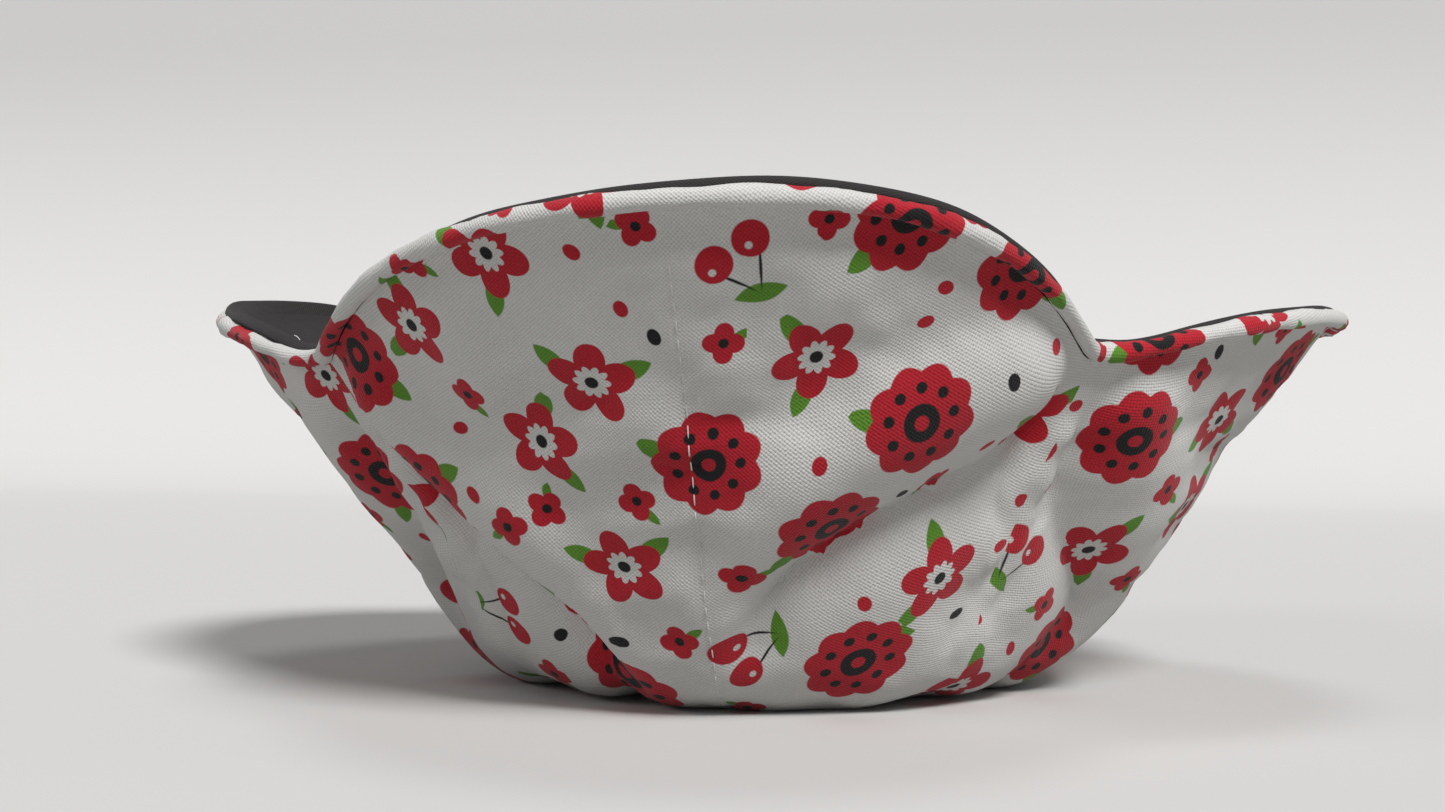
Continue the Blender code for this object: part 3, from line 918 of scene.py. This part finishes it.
def buds_and_spots(shade, place, ground):
    """Small buds and spots in the gaps between the motifs."""
    shifted = shade.vector("ADD", place, BUD_SHIFT)
    middle, chance, inside = cells(shade, shifted, BUD_SPACING, BUD_JITTER)
    middle = shade.vector("SUBTRACT", middle, BUD_SHIFT)
    motif = lattice(shade, middle, MOTIF_SPACING, MOTIF_JITTER)["Position"]
    in_gap = shade.math("GREATER_THAN", shade.vector("DISTANCE", middle, motif), BUDS_FROM_MOTIF)
    is_bud = shade.math("MULTIPLY", in_gap, shade.math("LESS_THAN", chance["Y"], BUDS_UNDER))
    is_spot = shade.math("SUBTRACT", in_gap, is_bud)
    ground = paint(shade, ground, is_bud, bud(shade, inside, *shade.polar(inside)))
    colour = shade.mix(shade.math("GREATER_THAN", chance["Z"], GREEN_SPOTS_OVER), RED, GREEN)
    colour = shade.mix(shade.math("GREATER_THAN", chance["Z"], BLACK_SPOTS_OVER), colour, BLACK)
    squashed = shade.vector("MULTIPLY", inside, SPOT_SQUASH)
    return paint(shade, ground, is_spot, [(shade.spot(squashed, (0.0, 0.0), SPOT_RADIUS), colour)])


def weave(shade, place, pitch):
    """Height of a plain weave: threads along the cloth's sides, over and under by turns."""
    split = shade.add("ShaderNodeSeparateXYZ", {"Vector": place}).outputs
    warp = shade.math("SINE", shade.math("MULTIPLY", split["X"], np.pi / pitch))
    weft = shade.math("SINE", shade.math("MULTIPLY", split["Y"], np.pi / pitch))
    over = shade.math("MULTIPLY", warp, weft)
    ridge = shade.math("ADD", shade.math("ABSOLUTE", warp), shade.math("ABSOLUTE", weft))
    return shade.math("MULTIPLY_ADD", over, WEAVE_CROSSING, ridge)


def cotton(name, printed):
    """Plain woven cotton: white with the print, or black with a little lint, and painted shade between its
    threads.
    """
    shade = Shade(name)
    place = shade.add("ShaderNodeUVMap", {}, uv_map="Flat").outputs[0]
    threads = weave(shade, place, THREAD_PITCH)
    slubs = shade.noise(place, SLUB_SCALE, detail=3.0)
    broad = shade.noise(shade.solid(), BROAD_SCALE, detail=4.0)
    if printed:
        colour = buds_and_spots(shade, place, motifs(shade, place, WHITE))
    else:
        lint = shade.noise(place, LINT_SCALE, detail=5.0)
        specks = shade.math("MULTIPLY_ADD", lint, *LINT_CUT, clamp=True)
        colour = shade.mix(shade.math("MULTIPLY", specks, LINT_SHARE), LINING, LINT)
    # Painted shade between the threads, with random patches from the slubs and broad noise, darkens the
    # colour towards a tint
    gaps = shade.math("MULTIPLY_ADD", threads, *GAP_SHADE, clamp=True)
    uneven = shade.math("MULTIPLY_ADD", slubs, *SLUB_SHADE, clamp=True)
    worn = shade.math("MULTIPLY_ADD", broad, *BROAD_SHADE, clamp=True)
    patchy = shade.math("MULTIPLY", shade.math("ADD", uneven, worn), UNEVENNESS)
    thread_shade_and_patches = shade.math("ADD", gaps, patchy, clamp=True)
    tint = shade.mix(thread_shade_and_patches, NO_TINT, PRINT_SHADE_AND_PATCH_TINT if printed else LINING_SHADE_AND_PATCH_TINT)
    return shade.surface({
        "Base Color": shade.mix(1.0, colour, tint, blend="MULTIPLY"),
        "Normal": shade.bump(slubs, SLUB_BUMP, over=shade.bump(threads, WEAVE_BUMP)),
        "Roughness": shade.math("MULTIPLY_ADD", slubs, *COTTON_ROUGHNESS),
        **(PRINT_FINISH if printed else LINING_FINISH),
    })


def thread_material():
    shade = Shade("sewing_thread")
    values = {"Vector": shade.solid(), "Scale": THREAD_TWIST_SCALE, "Distortion": 1.0}
    twist = shade.add("ShaderNodeTexWave", values, bands_direction="DIAGONAL").outputs[1]
    # Painted shade: the thread darkens in the grooves of its twist, where its bump is low
    return shade.surface({
        "Base Color": shade.mix(twist, *THREAD_SHADES),
        "Normal": shade.bump(twist, THREAD_BUMP),
        "Roughness": THREAD_ROUGHNESS,
    })


def batting_material():
    shade = Shade("cotton_batting")
    fibres = shade.noise(shade.solid(), FIBRE_SCALE, detail=6.0, distortion=2.0)
    # Painted shade: the batting darkens in the hollows among its fibres, where its bump is low
    return shade.surface({
        "Base Color": shade.mix(fibres, *BATTING_SHADES),
        "Normal": shade.bump(fibres, FIBRE_BUMP),
        "Roughness": 1.0,
    })


def turned_towards(one, other, angle):
    """Two directions at right angles, both turned the way that takes the first to the second."""
    turn = np.radians(angle)
    return one * np.cos(turn) + other * np.sin(turn), other * np.cos(turn) - one * np.sin(turn)


def photo_camera():
    """The camera at the photograph's place and angle."""
    turn = np.radians(CAMERA_AZIMUTH)
    ahead = np.array([-np.sin(turn), np.cos(turn), 0.0])
    right = np.array([np.cos(turn), np.sin(turn), 0.0])
    up = np.array([0.0, 0.0, 1.0])
    place = Vector(CAMERA_HEIGHT * up - CAMERA_DISTANCE * ahead) * MM
    up, ahead = turned_towards(up, ahead, CAMERA_PITCH)
    ahead, right = turned_towards(ahead, right, CAMERA_YAW)
    right, up = turned_towards(right, up, CAMERA_ROLL)
    lens = bpy.data.cameras.new("photo_camera")
    lens.sensor_width = SENSOR_WIDTH
    lens.lens = CAMERA_FOCAL_PIXELS / PHOTO_WIDTH * lens.sensor_width
    lens.clip_start = CAMERA_NEAREST * MM
    camera = bpy.data.objects.new("photo_camera", lens)
    turned = Matrix((right, up, -ahead)).transposed().to_4x4()
    camera.matrix_world = Matrix.Translation(place) @ turned
    bpy.context.scene.collection.objects.link(camera)
    bpy.context.scene.camera = camera


def soft_sun(name, place, strength):
    """A large far lamp that shines from a place towards the bowl, as bright all over the floor."""
    lamp = bpy.data.lights.new(name, "SUN")
    lamp.energy = strength
    lamp.angle = np.radians(SUN_WIDTH)
    made = bpy.data.objects.new(name, lamp)
    made.rotation_euler = Vector(place).to_track_quat("Z", "Y").to_euler()
    bpy.context.scene.collection.objects.link(made)


def pale_floor():
    """A floor that curves up far behind. It looks pale, and throws back the light of a greyer one."""
    bends = np.radians(np.arange(FLOOR_CURVE_STEP, 91, FLOOR_CURVE_STEP))
    profile = [(FLOOR_FRONT, 0.0), (FLOOR_BACK, 0.0)]
    profile += [(FLOOR_BACK + FLOOR_CURVE * np.sin(a), FLOOR_CURVE * (1 - np.cos(a))) for a in bends]
    profile.append((FLOOR_BACK + FLOOR_CURVE, FLOOR_TOP))
    made = bmesh.new()
    sides = (-FLOOR_HALF_WIDTH, FLOOR_HALF_WIDTH)
    left, right = [[made.verts.new((x, y, z)) for y, z in profile] for x in sides]
    for k in range(len(profile) - 1):
        made.faces.new((left[k], right[k], right[k + 1], left[k + 1]))
    mesh = bpy.data.meshes.new("floor")
    made.to_mesh(mesh)
    made.free()
    shade = Shade("pale_floor")
    seen = shade.add("ShaderNodeLightPath", {}).outputs["Is Camera Ray"]
    colour = shade.mix(seen, FLOOR_BOUNCE, FLOOR)
    mesh.materials.append(shade.surface({"Base Color": colour, "Roughness": FLOOR_ROUGHNESS}))
    return placed("floor", mesh)


def studio():
    """The floor, the lamps and a pale world."""
    pale_floor()
    for name, place, strength in SUNS:
        soft_sun(name, place, strength)
    world = bpy.data.worlds.new("pale_room")
    world.use_nodes = True
    background = world.node_tree.nodes["Background"].inputs
    background[0].default_value = WORLD_COLOUR
    background[1].default_value = WORLD_STRENGTH
    bpy.context.scene.world = world
    bpy.context.scene.view_settings.view_transform = "Standard"


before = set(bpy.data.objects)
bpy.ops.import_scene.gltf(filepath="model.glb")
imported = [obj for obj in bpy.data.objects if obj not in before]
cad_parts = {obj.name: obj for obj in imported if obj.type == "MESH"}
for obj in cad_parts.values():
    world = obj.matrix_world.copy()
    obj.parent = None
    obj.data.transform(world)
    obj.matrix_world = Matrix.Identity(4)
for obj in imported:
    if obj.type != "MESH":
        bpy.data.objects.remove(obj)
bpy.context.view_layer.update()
sheet = over_cad(Sheet(FACETS, WALL_RINGS))
sheet.settling = {seed: settled(sheet, side, seed) for side, seed in ((1, COVER_SEED), (-1, LINING_SEED))}

cover = printed_cover(sheet)
roll = rim_roll(sheet)
lining = black_lining(sheet)
pads = [padding("outer_padding", sheet, 1), padding("lining_padding", sheet, -1)]
thread = stitches(sheet)
print_cotton = cotton("printed_cotton", True)
for piece in (cover, roll):
    piece.data.materials.append(print_cotton)
lining.data.materials.append(cotton("lining_cotton", False))
thread.data.materials.append(thread_material())
batting = batting_material()
for piece in pads:
    piece.data.materials.append(batting)

for piece in (cover, roll, lining, thread, *pads):
    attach(piece, "root")
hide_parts("outer_cover")
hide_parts("lining")
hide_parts("outer_batting")
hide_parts("lining_batting")

photo_camera()
studio()
